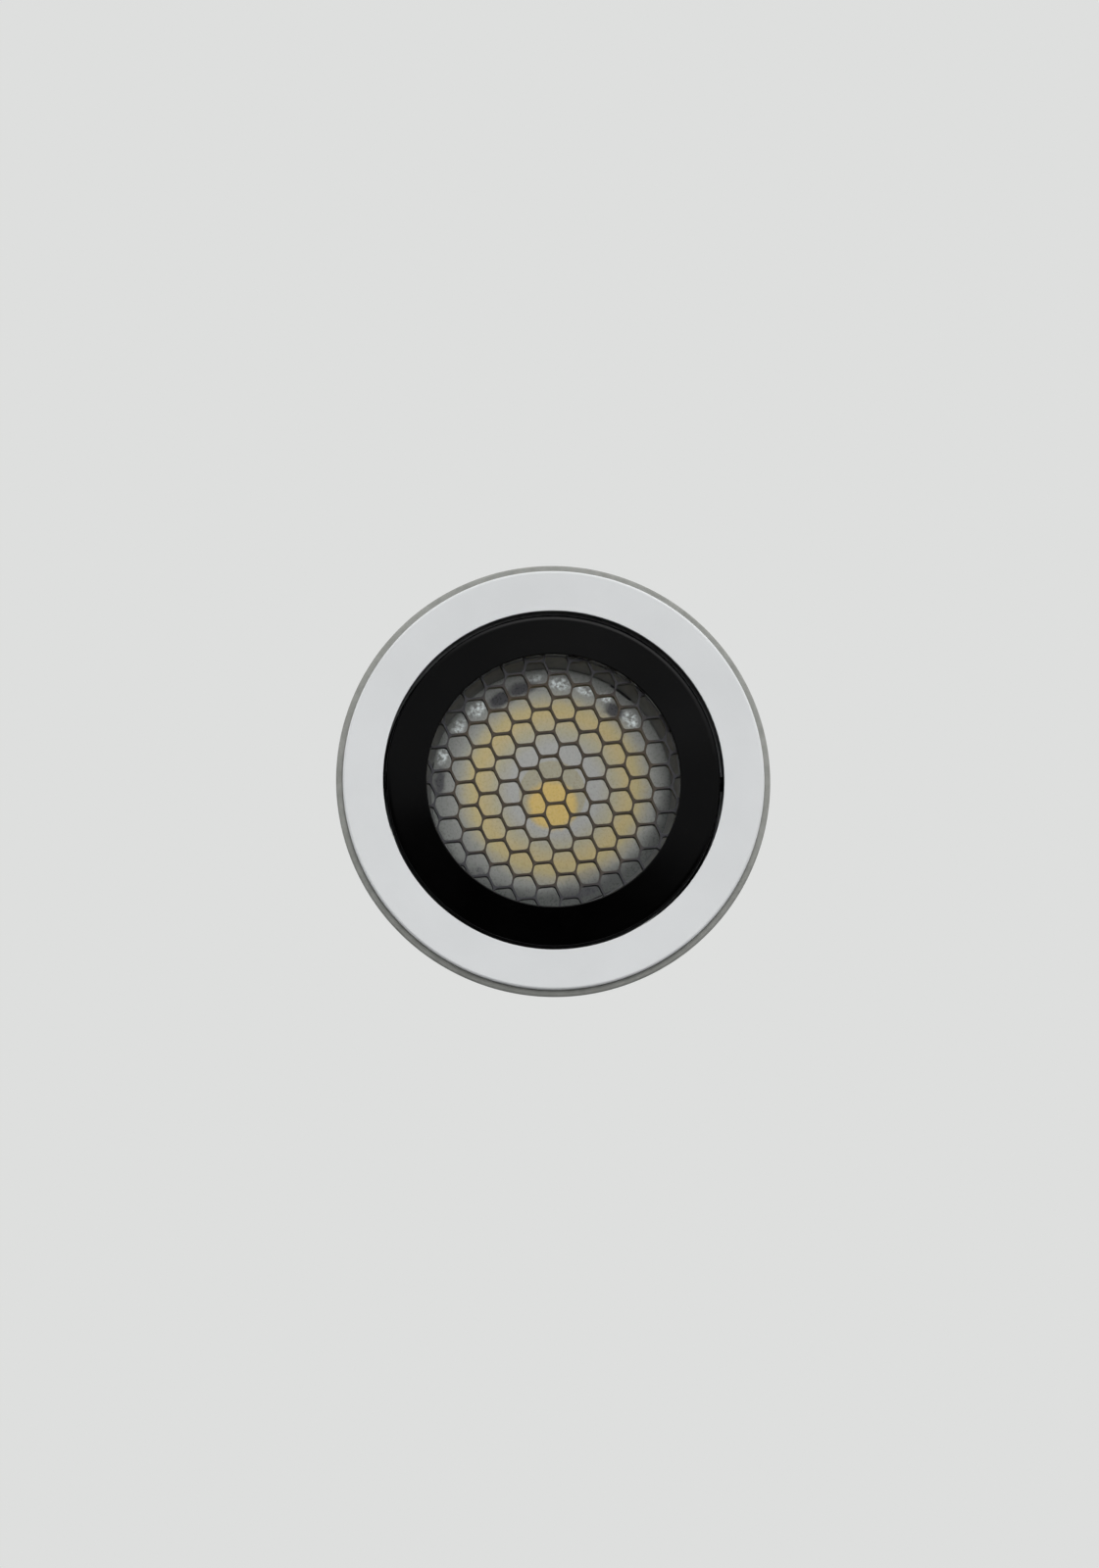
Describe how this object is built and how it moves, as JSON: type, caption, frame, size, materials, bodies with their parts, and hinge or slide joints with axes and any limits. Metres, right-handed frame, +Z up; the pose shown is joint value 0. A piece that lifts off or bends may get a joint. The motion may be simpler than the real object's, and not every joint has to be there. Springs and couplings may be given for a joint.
{
  "type": "recessed wall spotlight",
  "caption": "Round recessed wall spotlight: white trim, black tilting ring, honeycomb louvre over a textured lens, finned heat sink and spring clips.",
  "frame": {"origin": "centre of the round wall opening, in the plane of the wall's face, on which the gasket rests", "axes": "+Y into the wall along the lamp's axis, +Z up, +X to the right when facing the wall"},
  "size_m": [0.0866, 0.0678, 0.0866],
  "materials": {
    "white_paint": "satin white powder coat on die-cast aluminium",
    "grey_foam": "dark grey closed-cell foam",
    "black_paint": "satin black paint on die-cast aluminium",
    "black_louvre": "dull brown-black paint on aluminium foil cells",
    "dark_plastic": "matt dark grey",
    "clear_acrylic": "clear acrylic with a finely textured front",
    "black_plastic": "moulded black",
    "board_white": "white solder mask on an aluminium board",
    "yellow_phosphor": "yellow phosphor in silicone",
    "white_plastic": "moulded white",
    "grey_silicone": "soft grey pad",
    "cast_aluminium": "bare die-cast",
    "red_insulation": "red wire insulation",
    "black_insulation": "black wire insulation",
    "black_rubber": "matt black",
    "zinc_steel": "zinc-plated",
    "spring_steel": "bright spring steel"
  },
  "bodies": {
    "trim": {"trim_ring": "white_paint", "wall_gasket": "grey_foam", "pivot_pin_left": "zinc_steel", "pivot_pin_right": "zinc_steel", "friction_washer_left": "black_plastic", "friction_washer_right": "black_plastic", "clip_pin_left": "zinc_steel", "clip_pin_right": "zinc_steel", "clip_spring_left": "spring_steel", "clip_spring_right": "spring_steel"},
    "lamp": {"tilting_ring": "black_paint", "honeycomb_louvre": "black_louvre", "baffle_tube": "dark_plastic", "lens": "clear_acrylic", "lens_holder": "black_plastic", "led_board": "board_white", "led_phosphor": "yellow_phosphor", "led_retainer": "white_plastic", "retainer_screw_top": "zinc_steel", "retainer_screw_bottom": "zinc_steel", "thermal_pad": "grey_silicone", "heat_sink": "cast_aluminium", "module_screw_1": "zinc_steel", "module_screw_2": "zinc_steel", "module_screw_3": "zinc_steel", "lead_left": "black_insulation", "lead_right": "red_insulation", "terminal_block": "white_plastic", "rear_cap": "black_plastic", "cap_screw_top": "zinc_steel", "cap_screw_bottom": "zinc_steel", "cable_grommet": "black_rubber"},
    "clip_right": {"clip_arm_right": "spring_steel", "clip_sleeve_right": "black_rubber"},
    "clip_left": {"clip_arm_left": "spring_steel", "clip_sleeve_left": "black_rubber"}
  },
  "joints": [
    {"name": "lamp_tilt", "type": "hinge", "parent": "trim", "child": "lamp", "pos_m": [0, 0.0044, 0], "axis": [1, 0, 0], "range_deg": [-20, 20]},
    {"name": "clip_swing_right", "type": "hinge", "parent": "trim", "child": "clip_right", "pos_m": [0.034, 0.018, 0], "axis": [0, 0, 1], "range_deg": [0, 160], "stiffness_Nm_per_rad": 0.02, "springref_deg": -45.84, "deforming": ["clip_spring_right"]},
    {"name": "clip_swing_left", "type": "hinge", "parent": "trim", "child": "clip_left", "pos_m": [-0.034, 0.018, 0], "axis": [0, 0, -1], "range_deg": [0, 160], "stiffness_Nm_per_rad": 0.02, "springref_deg": -45.84, "deforming": ["clip_spring_left"]}
  ]
}
